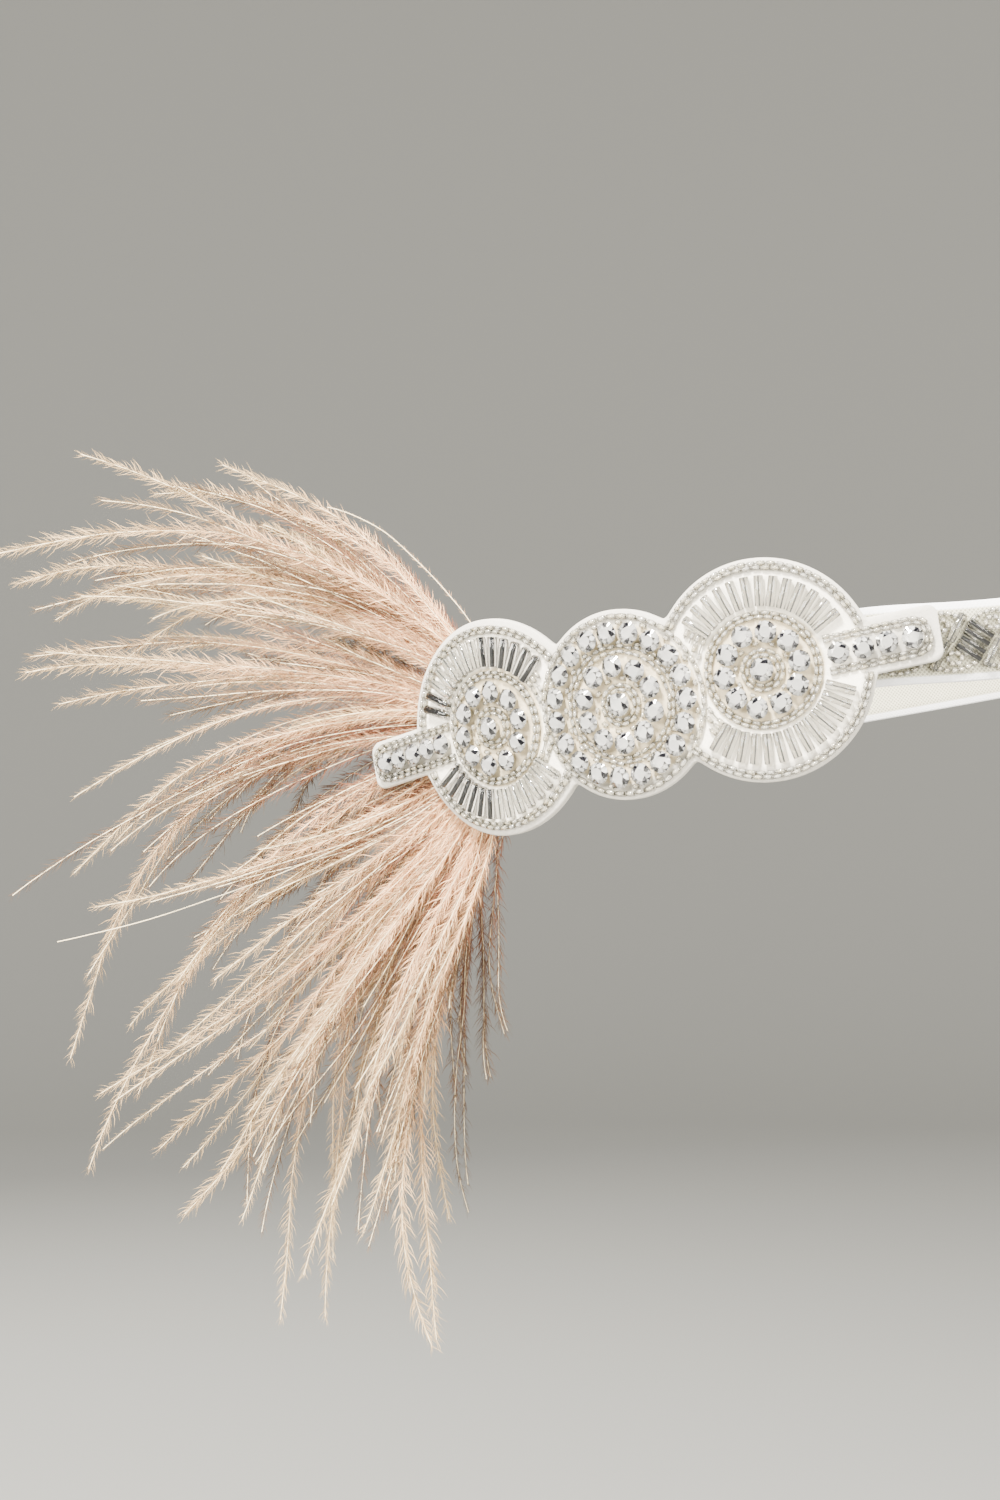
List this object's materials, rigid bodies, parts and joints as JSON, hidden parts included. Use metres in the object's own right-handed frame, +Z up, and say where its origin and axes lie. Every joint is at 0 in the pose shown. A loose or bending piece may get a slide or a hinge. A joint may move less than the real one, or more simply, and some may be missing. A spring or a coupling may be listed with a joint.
{
  "type": "flapper headband",
  "caption": "Beaded loop for the head with three round medallions of stones and bugle beads on felt, and an ostrich plume behind them.",
  "frame": {"origin": "middle of the loop, where the head fills it", "axes": "+Z up along the wearer's head, -Y where the wearer faces, -X the wearer's right, where the medallions sit"},
  "size_m": [0.162, 0.2575, 0.1935],
  "materials": {
    "felt": "white wool felt",
    "net": "white net on soft ribbon",
    "elastic": "plain woven elastic",
    "stone": "clear cut stone, foiled, in a silver cup",
    "seed_bead": "silver-lined clear glass",
    "bugle": "silver-lined clear glass",
    "feather": "dyed ostrich barbs"
  },
  "bodies": {
    "root": {"applique_backing": "felt", "back_elastic": "elastic", "band_base": "net", "band_beadwork": "bugle", "feather_plume": "feather", "left_centre_stone": "stone", "left_heart_beads": "seed_bead", "left_inner_beads": "seed_bead", "left_lower_beads": "seed_bead", "left_lower_bugles": "bugle", "left_stone_ring": "stone", "left_tail_beads": "seed_bead", "left_tail_stones": "stone", "left_upper_beads": "seed_bead", "left_upper_bugles": "bugle", "middle_centre_stone": "stone", "middle_field_beads": "seed_bead", "middle_heart_beads": "seed_bead", "middle_inner_stones": "stone", "middle_outer_beads": "seed_bead", "middle_outer_stones": "stone", "right_centre_stone": "stone", "right_heart_beads": "seed_bead", "right_inner_beads": "seed_bead", "right_lower_beads": "seed_bead", "right_lower_bugles": "bugle", "right_stone_ring": "stone", "right_tail_beads": "seed_bead", "right_tail_stones": "stone", "right_upper_beads": "seed_bead", "right_upper_bugles": "bugle"}
  },
  "joints": []
}
